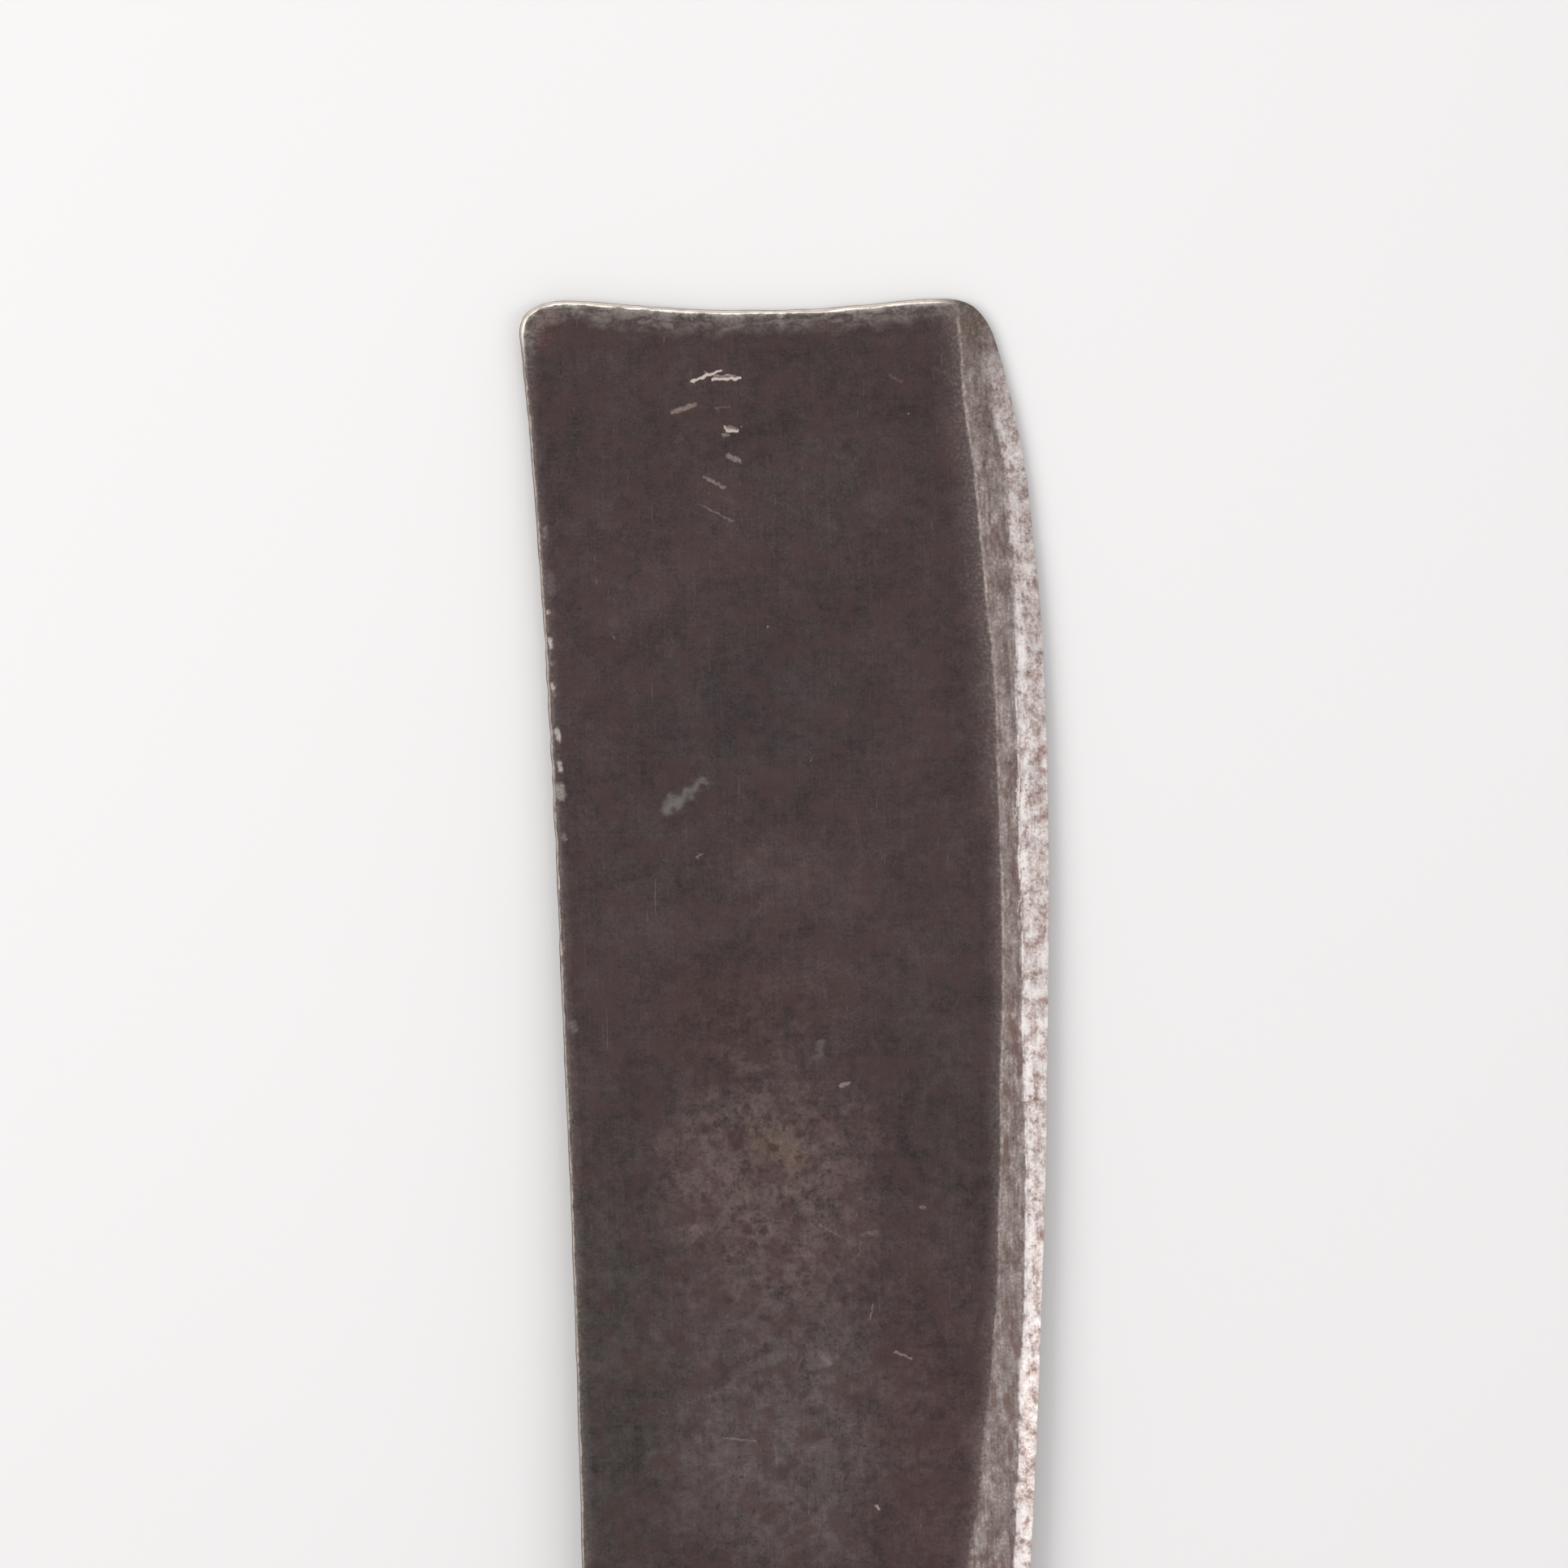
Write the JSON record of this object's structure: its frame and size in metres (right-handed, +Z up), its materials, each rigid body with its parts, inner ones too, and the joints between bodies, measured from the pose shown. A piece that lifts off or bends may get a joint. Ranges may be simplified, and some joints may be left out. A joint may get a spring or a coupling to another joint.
{
  "type": "meat cleaver",
  "caption": "Long-bladed butcher's cleaver: broad dark steel blade with bright ground bevel, full tang, riveted wooden handle scales and a lined hanging hole.",
  "frame": {"origin": "bottom centre of the bounding box of the cleaver lying on its side", "axes": "+Y runs from the butt of the handle to the tip, +X points to the cutting edge's side, +Z is up from the table through the blade's thickness"},
  "size_m": [0.1128, 0.4526, 0.0257],
  "materials": {
    "blade_steel": "dark worn patina on the flats, bright pitted bevel",
    "handle_wood": "oiled, worn",
    "rivet_brass": "tarnished"
  },
  "bodies": {
    "root": {"blade": "blade_steel", "left_scale": "handle_wood", "right_scale": "handle_wood", "front_rivet_stud": "rivet_brass", "front_rivet_socket": "rivet_brass", "middle_rivet_stud": "rivet_brass", "middle_rivet_socket": "rivet_brass", "rear_rivet_stud": "rivet_brass", "rear_rivet_socket": "rivet_brass", "hanging_eyelet": "rivet_brass"}
  },
  "joints": []
}
